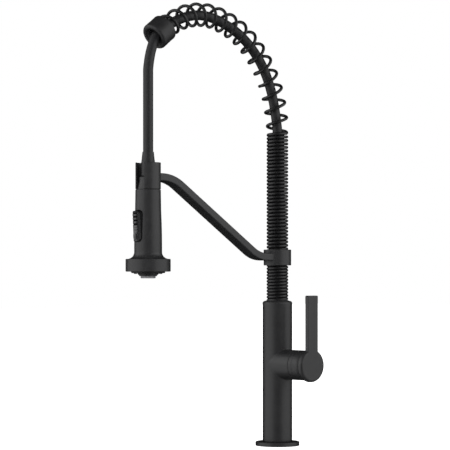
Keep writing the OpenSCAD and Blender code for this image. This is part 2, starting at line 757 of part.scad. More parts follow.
// The button leans out at its top; pressing the top rocks it about its pin
module rocker_button() {
    front = pin_y - button_front;
    back = pin_y - button_back;
    edge = 1;
    barrel = button_w - 2;
    rib_r = 1.1;
    color(black) translate([0, -reach - pin_y, button_z]) rotate([button_lean, 0, 0]) difference() {
        union() {
            translate([0, back, 0]) rotate([90, 0, 0]) linear_extrude(back - front - edge)
                polygon(rounded(button_w, button_h, button_round));
            hull() {
                translate([0, front + edge + 0.2, 0]) rotate([90, 0, 0]) linear_extrude(0.4)
                    polygon(rounded(button_w, button_h, button_round));
                translate([0, front + 0.1, 0]) rotate([90, 0, 0]) linear_extrude(0.1)
                    polygon(rounded(button_w - 2 * edge, button_h - 2 * edge, button_round - edge));
            }
            for (z = [5.2:4.25:13.7]) translate([1.6 - button_w / 2, front + 0.5, z]) rotate([0, 90, 0])
                cylinder(r = rib_r, h = button_w - 3.2, $fn = 24);
            rotate([-90, 0, 0]) cylinder(r = finger_r, h = finger + 0.4);
            translate([-barrel / 2, 0, 0]) rotate([0, 90, 0]) cylinder(r = 1.9, h = barrel);
        }
        translate([-button_w, 0, 0]) rotate([0, 90, 0]) cylinder(r = pin_r + fit, h = 2 * button_w);
    }
}

module rocker_pin() {
    color(steel) translate([-pin_half, -reach - pin_y, button_z]) rotate([0, 90, 0])
        cylinder(r = pin_r, h = 2 * pin_half);
}

module splash_flange() {
    edge = 0.9;
    rim_in = 20.2;
    color(black) at_head() rotate_extrude() polygon(concat(
        [[inner_r, seam_z - 0.15], [seam_r - 0.2, seam_z - 0.15]],
        arc(grip_r + fillet_r, splash_top + fillet_r, fillet_r, 222, 268, 7),
        arc(splash_r - edge, splash_top - edge, edge, 90, 0, 4),
        arc(splash_r - edge, splash_bottom + edge, edge, 0, -90, 4),
        [[rim_in, splash_bottom], [rim_in - chamfer, splash_bottom + chamfer]],
        [[rim_in - chamfer, splash_bottom + 6], [inner_r, splash_bottom + 10.4]]));
}

module spray_face() {
    r = 19.65;
    edge = 0.8;
    back = 217;
    floor_z = back - 2.4;
    hole_r = 11.9;
    color(black) at_head() rotate_extrude() polygon(
        [[hole_r, face_z], [r - edge, face_z], [r, face_z + edge], [r, back], [5, back],
            [5, floor_z], [hole_r, floor_z]]);
}

module spray_nubs() {
    nubs = 24;
    circle_r = 15.6;
    color(grey) for (i = [0:nubs - 1])
        at_head(face_z - 1) rotate([0, 0, (i + 0.5) * 360 / nubs]) translate([circle_r, 0, 0])
            cylinder(r1 = 0.6, r2 = 0.85, h = 1 - eps, $fn = 16);
}

module stream_ring() {
    bottom = 206.4;
    top = 214.5;
    bore_r = 8.7;
    r = 11.7;
    color(black) at_head() rotate_extrude() polygon(
        [[bore_r, bottom], [r - 1.6, bottom], [r - 1.2, bottom + 1.2], [r, bottom + 1.8], [r, top],
            [bore_r, top]]);
}

module stream_nozzle() {
    r = 8.6;
    bottom = 203.9;
    top = 214.4;
    screen_z = bottom + 2.3;
    way = 4;
    color(grey) at_head() rotate_extrude() polygon(
        [[r - 1.8, bottom], [r - 0.5, bottom], [r, bottom + 0.6], [r, top], [way, top],
            [way, screen_z], [r - 2.3, screen_z]]);
}

deck_flange();
deck_gasket();
mounting_shank();
column_body();
swivel_bush();
hose_lower();
cartridge_shell();
port_seals();
fixed_disc();
cartridge_nut();
dome_ring();
lever_carrier();
pivot_pin();
moving_disc();
lever_stem();
lever_handle();
handle_screw();
riser_tube();
friction_rings();
retaining_clip();
spring_seat();
coil_spring();
hose_upper();
end_guide();
guide_liner();
clamp_collar();
collar_liner();
collar_screw();
docking_arm();
docking_sleeve();
hose_drop();
hose_nut();
swivel_tail();
swivel_ring();
head_neck();
head_shell();
head_core();
check_valve();
diverter_spool();
rocker_button();
rocker_pin();
splash_flange();
spray_face();
spray_nubs();
stream_ring();
stream_nozzle();
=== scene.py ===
import json
import logging
import math
from dataclasses import dataclass, field, replace
from enum import Enum
from typing import Iterable, Optional, Sequence

import bmesh
import bpy
from mathutils import Matrix, Vector


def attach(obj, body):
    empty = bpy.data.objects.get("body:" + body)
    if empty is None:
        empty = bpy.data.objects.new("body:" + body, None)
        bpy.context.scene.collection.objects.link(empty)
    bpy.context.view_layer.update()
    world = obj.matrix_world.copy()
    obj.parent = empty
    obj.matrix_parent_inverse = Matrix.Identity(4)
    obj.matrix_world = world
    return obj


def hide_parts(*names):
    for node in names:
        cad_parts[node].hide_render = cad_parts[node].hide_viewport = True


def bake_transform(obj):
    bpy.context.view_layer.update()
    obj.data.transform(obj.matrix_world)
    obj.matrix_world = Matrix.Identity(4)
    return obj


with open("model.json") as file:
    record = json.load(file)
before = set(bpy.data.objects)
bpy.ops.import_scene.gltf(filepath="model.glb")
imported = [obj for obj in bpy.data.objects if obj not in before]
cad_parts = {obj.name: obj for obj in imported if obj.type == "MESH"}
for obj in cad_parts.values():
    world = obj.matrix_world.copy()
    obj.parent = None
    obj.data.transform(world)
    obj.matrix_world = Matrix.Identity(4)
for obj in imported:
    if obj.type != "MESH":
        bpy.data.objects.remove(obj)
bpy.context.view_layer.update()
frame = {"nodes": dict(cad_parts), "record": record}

MM = 0.001
LOG = logging.getLogger("kitchen_faucet")
# Vertices nearer than this, in metres, are one.
WELD = 1e-7
# Cosine over which two directions count as the same.
NEARLY_PARALLEL = 0.99
# Part of the noise over which a finish goes from its dark tone to its light one.
TONE_SPAN = (0.3, 0.7)
# Shape of the noise behind the tone and behind the relief of a finish.
TONE_NOISE = {"Detail": 3.0, "Roughness": 0.55}
GRAIN_NOISE = {"Detail": 2.0, "Roughness": 0.5}
# Rays that find the edges which a coat's fillet rounds.
FILLET_RAYS = 6
WHITE = (1.0, 1.0, 1.0, 1.0)

Pair = tuple[float, float]
Colour = tuple[float, float, float, float]


class Body(str, Enum):
    """Moving groups of the faucet that a new piece can ride on."""

    BASE = "base"
    SPOUT = "spout"
    HOSE_END = "hose_end"
    HEAD = "spray_head"
    BUTTON = "button"


class Slot(str, Enum):
    """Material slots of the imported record."""

    BLACK = "black"
    COIL = "coil"
    HEAD = "head_black"
    HOSE = "hose"
    RUBBER = "rubber"
    BRASS = "brass"
    NYLON = "nylon"
    CERAMIC = "ceramic"
    STEEL = "steel"
    TIP = "grey_tip"


class Space(str, Enum):
    """Coordinates that a finish's pattern is laid out in."""

    OBJECT = "object"
    ROUTE = "route"


# ---------------------------------------------------------------- small tools


def linear(code: str) -> Colour:
    """Turns an sRGB hex colour into linear light.

    Args:
        code: A colour such as "#242425".

    Returns:
        Red, green, blue and an alpha of 1.
    """
    parts = [int(code[i:i + 2], 16) / 255 for i in (1, 3, 5)]
    red, green, blue = (
        c / 12.92 if c <= 0.04045 else ((c + 0.055) / 1.055) ** 2.4 for c in parts)
    return red, green, blue, 1.0


def add_node(
    tree: bpy.types.NodeTree,
    kind: str,
    sockets: Optional[dict] = None,
    links: Optional[dict] = None,
    **settings: object,
) -> bpy.types.Node:
    """Adds one shader node with its settings and links.

    Args:
        tree: Node tree that takes the node.
        kind: Blender's name of the node type.
        sockets: Values of inputs, by name or number.
        links: Output sockets that feed inputs, by name or number.
        settings: Properties of the node itself.

    Returns:
        The new node.
    """
    node = tree.nodes.new(kind)
    for name, value in settings.items():
        setattr(node, name, value)
    for name, value in (sockets or {}).items():
        node.inputs[name].default_value = value
    for name, source in (links or {}).items():
        tree.links.new(source, node.inputs[name])
    return node


def spline(points: Sequence[Pair], steps: int) -> list[Pair]:
    """Draws a smooth curve through points, in the way the construction does.

    Args:
        points: Places in millimetres.
        steps: Stretches between each two points.

    Returns:
        The places along the curve.
    """
    curve = []
    for i in range(len(points) - 1):
        p0, p1 = points[max(i - 1, 0)], points[i]
        p2, p3 = points[i + 1], points[min(i + 2, len(points) - 1)]
        for k in range(steps):
            t = k / steps
            curve.append(tuple(
                0.5 * (2 * b + (c - a) * t + (2 * a - 5 * b + 4 * c - d) * t * t
                       + (3 * b - a - 3 * c + d) * t ** 3)
                for a, b, c, d in zip(p0, p1, p2, p3)))
    return curve + [tuple(points[-1])]


def lookup(x: float, table: Sequence[Pair]) -> float:
    """Reads a value off a table with straight lines between its rows.

    Args:
        x: Where to read.
        table: Rows of place and value, in rising order.

    Returns:
        The value at x.
    """
    if x <= table[0][0]:
        return table[0][1]
    for (x0, y0), (x1, y1) in zip(table, table[1:]):
        if x <= x1:
            return y0 + (y1 - y0) * (x - x0) / (x1 - x0)
    return table[-1][1]


def in_spout_plane(place: Pair) -> Vector:
    """Turns a distance from the column and a height, in mm, into a place in metres."""
    return Vector((0.0, -place[0] * MM, place[1] * MM))


def finish_piece(
    name: str,
    bm: bmesh.types.BMesh,
    material: bpy.types.Material,
    sharp: float = 35.0,
) -> bpy.types.Object:
    """Closes a bmesh into an object of the scene.

    Args:
        name: Name of the piece.
        bm: The shape, which is freed.
        material: The finish.
        sharp: Angle in degrees past which an edge stays crisp.

    Returns:
        The object, at the origin.
    """
    mesh = bpy.data.meshes.new(name)
    bm.to_mesh(mesh)
    bm.free()
    mesh.shade_smooth()
    mesh.set_sharp_from_angle(angle=math.radians(sharp))
    mesh.materials.append(material)
    piece = bpy.data.objects.new(name, mesh)
    bpy.context.scene.collection.objects.link(piece)
    return piece


def outward(bm: bmesh.types.BMesh) -> None:
    """Merges doubles and turns every face outwards."""
    bmesh.ops.remove_doubles(bm, verts=bm.verts, dist=WELD)
    bmesh.ops.recalc_face_normals(bm, faces=bm.faces)


# ------------------------------------------------------------------ finishes


@dataclass(frozen=True)
class Finish:
    """A procedural finish made of a base, a tone that wanders, and a fine relief.

    Each size is that of one cell of the pattern in millimetres. A fillet rounds the shading of
    edges and corners by its radius, as a thick coat does.
    """

    name: str
    light: str
    dark: str
    roughness: Pair
    specular: float = 0.5
    ior: float = 1.5
    metallic: float = 0.0
    tone_mm: float = 9.0
    grain_mm: float = 1.0
    grain_depth_mm: float = 0.02
    grain_strength: float = 0.2
    fillet_mm: float = 0.0
    stretch: tuple[float, float, float] = (1.0, 1.0, 1.0)
    space: Space = Space.OBJECT

    def material(self) -> bpy.types.Material:
        """Makes the material, or returns it if it is there already.

        Returns:
            The material of this finish.
        """
        ready = bpy.data.materials.get(self.name)
        if ready:
            return ready
        made = bpy.data.materials.new(self.name)
        made.use_nodes = True
        tree = made.node_tree
        tree.nodes.clear()
        place = self._coordinates(tree)
        tone = add_node(
            tree, "ShaderNodeTexNoise", {"Scale": 1 / (self.tone_mm * MM), **TONE_NOISE},
            {"Vector": place})
        colour = add_node(tree, "ShaderNodeValToRGB", links={"Fac": tone.outputs["Fac"]})
        for i, code in enumerate((self.dark, self.light)):
            stop = colour.color_ramp.elements[i]
            stop.position, stop.color = TONE_SPAN[i], linear(code)
        rough = add_node(
            tree, "ShaderNodeMapRange",
            {"From Min": TONE_SPAN[0], "From Max": TONE_SPAN[1],
             "To Min": self.roughness[0], "To Max": self.roughness[1]},
            {"Value": tone.outputs["Fac"]})
        grain = add_node(
            tree, "ShaderNodeTexNoise", {"Scale": 1 / (self.grain_mm * MM), **GRAIN_NOISE},
            {"Vector": place})
        relief = add_node(
            tree, "ShaderNodeBump",
            {"Strength": self.grain_strength, "Distance": self.grain_depth_mm * MM},
            {"Height": grain.outputs["Fac"]})
        if self.fillet_mm:
            fillet = add_node(
                tree, "ShaderNodeBevel", {"Radius": self.fillet_mm * MM}, samples=FILLET_RAYS)
            tree.links.new(fillet.outputs["Normal"], relief.inputs["Normal"])
        shader = add_node(
            tree, "ShaderNodeBsdfPrincipled",
            {"Metallic": self.metallic, "Specular IOR Level": self.specular},
            {"Base Color": colour.outputs["Color"], "Roughness": rough.outputs["Result"],
             "Normal": relief.outputs["Normal"]})
        if not self.metallic:
            shader.inputs["IOR"].default_value = self.ior
        add_node(tree, "ShaderNodeOutputMaterial", links={"Surface": shader.outputs["BSDF"]})
        return made

    def _coordinates(self, tree: bpy.types.NodeTree) -> bpy.types.NodeSocket:
        """Adds the nodes that lay out the pattern.

        Args:
            tree: Node tree of the material.

        Returns:
            The socket that holds the pattern's coordinates.
        """
        if self.space is Space.ROUTE:
            source = add_node(
                tree, "ShaderNodeAttribute", attribute_name="route").outputs["Vector"]
        else:
            source = add_node(tree, "ShaderNodeTexCoord").outputs["Object"]
        if self.stretch == (1.0, 1.0, 1.0):
            return source
        laid = add_node(tree, "ShaderNodeMapping", {"Scale": self.stretch}, {"Vector": source})
        return laid.outputs["Vector"]


# Polyester powder coat, sprayed on brass and baked: an even charcoal whose faint orange peel
# breaks up the gloss. The peel is 0.8 mm across, drawn at 1.2 mm so that it shows.
POWDER_COAT = Finish(
    "powder_coat_matte_black", "#262627", "#212122", (0.40, 0.46), specular=0.5,
    tone_mm=14, grain_mm=1.2, grain_depth_mm=0.02, grain_strength=0.12)
# The same coat on the column, where it lies thick in the corner round the port, so that the port
# grows softly out of the column.
COLUMN_COAT = replace(POWDER_COAT, name="powder_coat_column", fillet_mm=3.0)
# Spring wire with a baked black coat: deeper than the castings and a little smoother where it was
# drawn, so that its crests shine and its gaps are black.
COATED_WIRE = Finish(
    "spring_wire_coated_black", "#171718", "#121213", (0.32, 0.40), specular=0.55,
    tone_mm=6, grain_mm=0.9, grain_depth_mm=0.015, grain_strength=0.12, space=Space.ROUTE)
# Brass blackened in a bath, which is all that shows of the riser between the coils.
BLACKENED_BRASS = Finish(
    "brass_blackened", "#101011", "#0b0b0c", (0.5, 0.6), specular=0.3,
    tone_mm=10, grain_mm=0.8, grain_depth_mm=0.01, grain_strength=0.15)
# ABS from a spark-eroded mould: as dark as the coat, with a tighter grain and no peel.
MOULDED_ABS = Finish(
    "abs_moulded_matte_black", "#252526", "#202021", (0.42, 0.48), specular=0.5,
    tone_mm=12, grain_mm=0.6, grain_depth_mm=0.012, grain_strength=0.15)
# Glass-filled nylon, moulded: the darkest of the hard parts, with the dull haze of its fibres.
GLASS_NYLON = Finish(
    "nylon_glass_filled_black", "#212122", "#1c1c1d", (0.45, 0.53), specular=0.42, ior=1.53,
    tone_mm=9, grain_mm=0.7, grain_depth_mm=0.012, grain_strength=0.15)
# ABS from a polished mould, where a thumb also keeps it smooth: the same black with a clear sheen.
POLISHED_ABS = Finish(
    "abs_moulded_satin_black", "#262627", "#212122", (0.18, 0.24), specular=1.0,
    tone_mm=8, grain_mm=0.6, grain_depth_mm=0.006, grain_strength=0.1)
# Painted shade for the button: a dull near-black laid on the pad's rim, sides and bold grooves, so
# that they read dark against the ABS.
BUTTON_PAINTED_SHADE = Finish(
    "button_painted_shade_black", "#0c0c0d", "#080809", (0.6, 0.7), specular=0.2, ior=1.48,
    tone_mm=5, grain_mm=0.5, grain_depth_mm=0.01, grain_strength=0.2)
# PVC hose jacket, extruded: satin black with faint lines along it from the die.
HOSE_JACKET = Finish(
    "pvc_extruded_hose_black", "#202021", "#19191b", (0.47, 0.57), specular=0.43, ior=1.53,
    tone_mm=7, grain_mm=1.4, grain_depth_mm=0.05, grain_strength=0.5, stretch=(1.0, 1.0, 0.05),
    space=Space.ROUTE)
# EPDM rubber, pressed: dull and nearly black.
PRESSED_RUBBER = Finish(
    "epdm_pressed_rubber", "#1a1a1a", "#141414", (0.62, 0.75), specular=0.4, ior=1.52,
    tone_mm=5, grain_mm=0.5, grain_depth_mm=0.01, grain_strength=0.25)
# Brass, turned: yellow metal with fine lathe lines around the upright axis.
TURNED_BRASS = Finish(
    "brass_turned", "#c9a35c", "#b48d48", (0.24, 0.34), metallic=1.0,
    tone_mm=10, grain_mm=5, grain_depth_mm=0.01, grain_strength=0.3, stretch=(1.0, 1.0, 14.0))
# Natural nylon, moulded: milky and slightly waxy.
MOULDED_NYLON = Finish(
    "nylon_moulded_natural", "#e2e0d6", "#d6d3c7", (0.42, 0.52), ior=1.53,
    tone_mm=8, grain_mm=0.8, grain_depth_mm=0.01, grain_strength=0.12)
# Alumina discs, lapped: off-white and glossy as glass on the lapped faces.
LAPPED_CERAMIC = Finish(
    "alumina_lapped", "#ece8dc", "#e2ddcf", (0.12, 0.2), ior=1.76,
    tone_mm=3, grain_mm=0.3, grain_depth_mm=0.004, grain_strength=0.1)
# Stainless steel, drawn and turned: cool grey with short lines.
DRAWN_STEEL = Finish(
    "stainless_steel_drawn", "#c3c4c6", "#aeb0b3", (0.28, 0.38), metallic=1.0,
    tone_mm=6, grain_mm=3, grain_depth_mm=0.008, grain_strength=0.25, stretch=(1.0, 1.0, 9.0))
# Silicone nozzles, moulded: black and dull, so that they sink into the face.
BLACK_SILICONE = Finish(
    "silicone_moulded_black", "#1c1c1d", "#171718", (0.5, 0.6), specular=0.35, ior=1.42,
    tone_mm=4, grain_mm=0.5, grain_depth_mm=0.008, grain_strength=0.15)
# Liquid silicone, moulded: a soft light grey with no shine.
MOULDED_SILICONE = Finish(
    "silicone_moulded_grey", "#828284", "#79797b", (0.5, 0.6), specular=0.4, ior=1.42,
    tone_mm=4, grain_mm=0.5, grain_depth_mm=0.008, grain_strength=0.15)

FINISH_OF_SLOT: dict[str, Finish] = {
    Slot.BLACK.value: POWDER_COAT,
    Slot.COIL.value: COATED_WIRE,
    Slot.HEAD.value: MOULDED_ABS,
    Slot.HOSE.value: HOSE_JACKET,
    Slot.RUBBER.value: PRESSED_RUBBER,
    Slot.BRASS.value: TURNED_BRASS,
    Slot.NYLON.value: MOULDED_NYLON,
    Slot.CERAMIC.value: LAPPED_CERAMIC,
    Slot.STEEL.value: DRAWN_STEEL,
    Slot.TIP.value: MOULDED_SILICONE,
}


# -------------------------------------------------------------------- studio


@dataclass
class Camera:
    """A level camera with a long lens, aimed past the column at the spout's plane."""

    azimuth: float = 48.0
    distance: float = 2.4701
    aside: float = -0.06367
    height: float = 0.22264
    lens: float = 162.64
    sensor: float = 36.0
    shift: Pair = (0.0, 0.0822)
    clip: Pair = (0.05, 60.0)

    def facing(self) -> tuple[Vector, Vector]:
        """Gives the level directions towards the camera and to the right of its view."""
        a = math.radians(self.azimuth)
        return Vector((math.sin(a), -math.cos(a), 0)), Vector((math.cos(a), math.sin(a), 0))

    def build(self) -> bpy.types.Object:
        """Makes the camera and sets it as the scene's.

        Returns:
            The camera.
        """
        back, right = self.facing()
        data = bpy.data.cameras.new("camera")
        data.lens, data.sensor_width = self.lens, self.sensor
        data.shift_x, data.shift_y = self.shift
        data.clip_start, data.clip_end = self.clip
        camera = bpy.data.objects.new("camera", data)
        camera.location = back * self.distance + right * self.aside + Vector((0, 0, self.height))
        camera.rotation_euler = (math.radians(90), 0, math.radians(self.azimuth))
        bpy.context.scene.collection.objects.link(camera)
        bpy.context.scene.camera = camera
        return camera


@dataclass
class Lamp:
    """A flat studio lamp that faces the faucet, placed by its bearing from the camera's side."""

    name: str
    bearing: float
    distance: float
    width: float
    height: float
    centre: float
    power: float
    in_gloss: bool = True

    def build(self, camera: Camera, target: Vector) -> bpy.types.Object:
        """Makes the lamp.

        Args:
            camera: Camera that the bearing is measured from; right is positive.
            target: Point that the lamp faces.

        Returns:
            The lamp.
        """
        back, right = camera.facing()
        a = math.radians(self.bearing)
        place = (back * math.cos(a) + right * math.sin(a)) * self.distance
        data = bpy.data.lights.new(self.name, "AREA")
        data.shape, data.size, data.size_y = "RECTANGLE", self.width, self.height
        data.energy = self.power
        lamp = bpy.data.objects.new(self.name, data)
        lamp.location = Vector((target.x + place.x, target.y + place.y, self.centre))
        lamp.rotation_euler = (target - lamp.location).to_track_quat("-Z", "Y").to_euler()
        lamp.visible_camera = False
        lamp.visible_glossy = self.in_gloss
        bpy.context.scene.collection.objects.link(lamp)
        return lamp


@dataclass
class Panel:
    """A curved softbox that the gloss meets, between two bearings from the camera's side."""

    name: str
    bearings: Pair
    heights: Pair
    level: float
    radius: float = 2.0
    facets: int = 24


@dataclass
class Studio:
    """A white studio whose gloss shows softboxes at both sides and black cloth between them.

    A matt black part against white needs such cloth, or its rims turn pale. The floor lies just
    under the deck flange, so that the two don't fight for one plane.
    """

    target: Vector = field(default_factory=lambda: Vector((0.0, -0.09, 0.26)))
    floor_z: float = -0.0002
    floor_half: float = 6.0
    ambient: float = 0.6
    backdrop: float = 1.0
    tent_radius: float = 4.0
    tent_glow: float = 0.02
    lamps: tuple[Lamp, ...] = (
        Lamp("front_fill", -8, 3.4, 1.6, 1.6, 1.3, 80, in_gloss=False),
    )
    panels: tuple[Panel, ...] = (
        Panel("softbox_left", (-118, -34), (0.26, 1.95), 1.4),
        Panel("softbox_left_low", (-118, -34), (-1.8, 0.26), 0.85),
        Panel("softbox_right", (34, 114), (0.26, 1.95), 1.45),
        Panel("softbox_right_low", (34, 114), (-1.8, 0.26), 0.75),
    )

    def build(self, camera: Camera) -> None:
        """Makes the world, the floor, the cloth and the lamps.

        Args:
            camera: Camera that the lamps are set out from.
        """
        self._world()
        self._floor()
        self._tent()
        for lamp in self.lamps:
            lamp.build(camera, self.target)
        for panel in self.panels:
            self._panel(panel, camera)

    def _seen(self, tree: bpy.types.NodeTree) -> bpy.types.NodeSocket:
        """Adds a value of 1 for the rays that look at the background: camera, gloss and glass.

        Args:
            tree: Node tree of the world or the floor.

        Returns:
            The socket with the value.
        """
        path = add_node(tree, "ShaderNodeLightPath")
        first = add_node(
            tree, "ShaderNodeMath", operation="MAXIMUM",
            links={0: path.outputs["Is Camera Ray"], 1: path.outputs["Is Glossy Ray"]})
        return add_node(
            tree, "ShaderNodeMath", operation="MAXIMUM",
            links={0: first.outputs[0], 1: path.outputs["Is Transmission Ray"]}).outputs[0]

    def _world(self) -> None:
        """Makes a world that looks white and lights the scene from all round at a low level."""
        world = bpy.data.worlds.new("studio_air")
        world.use_nodes = True
        tree = world.node_tree
        tree.nodes.clear()
        level = add_node(
            tree, "ShaderNodeMapRange", {"To Min": self.ambient, "To Max": self.backdrop},
            {"Value": self._seen(tree)})
        sky = add_node(
            tree, "ShaderNodeBackground", {"Color": WHITE}, {"Strength": level.outputs["Result"]})
        add_node(tree, "ShaderNodeOutputWorld", links={"Surface": sky.outputs["Background"]})
        bpy.context.scene.world = world

    def _floor(self) -> None:
        """Makes the pale deck, which keeps the faucet's soft shadow."""
        made = bpy.data.materials.new("studio_floor_pale")
        made.use_nodes = True
        tree = made.node_tree
        tree.nodes.clear()
        paint = add_node(tree, "ShaderNodeBsdfDiffuse", {"Color": linear("#f2f2f2")})
        glow = add_node(
            tree, "ShaderNodeEmission", {"Color": WHITE}, {"Strength": self._seen(tree)})
        both = add_node(
            tree, "ShaderNodeAddShader", links={0: paint.outputs[0], 1: glow.outputs[0]})
        add_node(tree, "ShaderNodeOutputMaterial", links={"Surface": both.outputs[0]})
        bm = bmesh.new()
        bmesh.ops.create_grid(
            bm, x_segments=4, y_segments=4, size=self.floor_half,
            matrix=Matrix.Translation((0, 0, self.floor_z)))
        floor = self._stage("studio_floor", bm, made)
        floor.visible_glossy = False

    def _tent(self) -> None:
        """Hangs the black cloth round the studio."""
        bm = bmesh.new()
        bmesh.ops.create_icosphere(bm, subdivisions=4, radius=self.tent_radius)
        cloth = self._glow("studio_black_cloth", self.tent_glow)
        self._for_gloss(self._stage("studio_tent", bm, cloth))

    def _panel(self, panel: Panel, camera: Camera) -> None:
        """Spins one curved softbox round the target.

        Args:
            panel: Its sizes.
            camera: Camera that its bearings are measured from.
        """
        back, right = camera.facing()
        start, end = (math.radians(a) for a in panel.bearings)
        middle = self.target.xy.to_3d()
        place = middle + (back * math.cos(start) + right * math.sin(start)) * panel.radius
        bm = bmesh.new()
        ends = [bm.verts.new(place + Vector((0, 0, z))) for z in panel.heights]
        edge = bm.edges.new(ends)
        bmesh.ops.spin(
            bm, geom=ends + [edge], cent=middle, axis=(0, 0, 1), angle=end - start,
            steps=panel.facets, use_duplicate=False)
        self._for_gloss(self._stage(panel.name, bm, self._glow(panel.name, panel.level)))

    @staticmethod
    def _glow(name: str, level: float) -> bpy.types.Material:
        """Makes a cloth that glows.

        Args:
            name: Name of the material.
            level: How bright it is, where 1 is white.

        Returns:
            The material.
        """
        made = bpy.data.materials.new(name)
        made.use_nodes = True
        tree = made.node_tree
        tree.nodes.clear()
        cloth = add_node(tree, "ShaderNodeEmission", {"Color": WHITE, "Strength": level})
        add_node(tree, "ShaderNodeOutputMaterial", links={"Surface": cloth.outputs[0]})
        return made

    @staticmethod
    def _for_gloss(thing: bpy.types.Object) -> None:
        """Leaves a studio object to the gloss alone."""
        for ray in ("camera", "diffuse", "shadow", "transmission", "volume_scatter"):
            setattr(thing, "visible_" + ray, False)

    def _stage(
            self, name: str, bm: bmesh.types.BMesh, made: bpy.types.Material) -> bpy.types.Object:
        """Closes a bmesh into a part of the studio.

        Args:
            name: Name of the object.
            bm: The shape, which is freed.
            made: Its material.

        Returns:
            The object.
        """
        mesh = bpy.data.meshes.new(name)
        bm.to_mesh(mesh)
        bm.free()
        mesh.materials.append(made)
        thing = bpy.data.objects.new(name, mesh)
        bpy.context.scene.collection.objects.link(thing)
        return thing


# -------------------------------------------------------------- sub-assemblies


@dataclass
class Tube:
    """A round tube bent along a route, with its ends closed."""

    route: list[Vector]
    radius: float
    sides: int

    def headings(self) -> list[Matrix]:
        """Gives a frame at each point of the route that doesn't twist along it.

        Returns:
            Matrices whose Z axis follows the route.
        """
        last = len(self.route) - 1
        frames = []
        across = Vector((1, 0, 0))
        for i, spot in enumerate(self.route):
            along = (self.route[min(i + 1, last)] - self.route[max(i - 1, 0)]).normalized()
            if abs(along.dot(across)) > NEARLY_PARALLEL:
                across = Vector((0, 1, 0))
            across = (across - along * across.dot(along)).normalized()
            turn = Matrix((across, along.cross(across), along)).transposed()
            frames.append(Matrix.Translation(spot) @ turn.to_4x4())
        return frames

    def build(self, name: str, slot: Slot, finish: Finish) -> bpy.types.Object:
        """Bends a grid over the route and closes it.

        Args:
            name: Name of the piece.
            slot: Material slot of the record; not used.
            finish: Finish of the piece.

        Returns:
            The piece, with its unrolled coordinates in the attribute that the finish reads.
        """
        frames = self.headings()
        steps = len(frames) - 1
        far = [0.0]
        for a, b in zip(self.route, self.route[1:]):
            far.append(far[-1] + (b - a).length)
        bm = bmesh.new()
        unrolled = bm.verts.layers.float_vector.new("route")
        grid = bmesh.ops.create_grid(bm, x_segments=steps, y_segments=self.sides, size=0.5)
        for vert in grid["verts"]:
            i = round((vert.co.x + 0.5) * steps)
            a = math.tau * round((vert.co.y + 0.5) * self.sides) / self.sides
            spot = Vector((self.radius * math.cos(a), self.radius * math.sin(a), 0))
            vert[unrolled] = spot + Vector((0, 0, far[i]))
            vert.co = frames[i] @ spot
        bmesh.ops.remove_doubles(bm, verts=bm.verts, dist=WELD)
        bmesh.ops.holes_fill(bm, edges=[e for e in bm.edges if e.is_boundary], sides=self.sides)
        outward(bm)
        return finish_piece(name, bm, finish.material(), sharp=50)


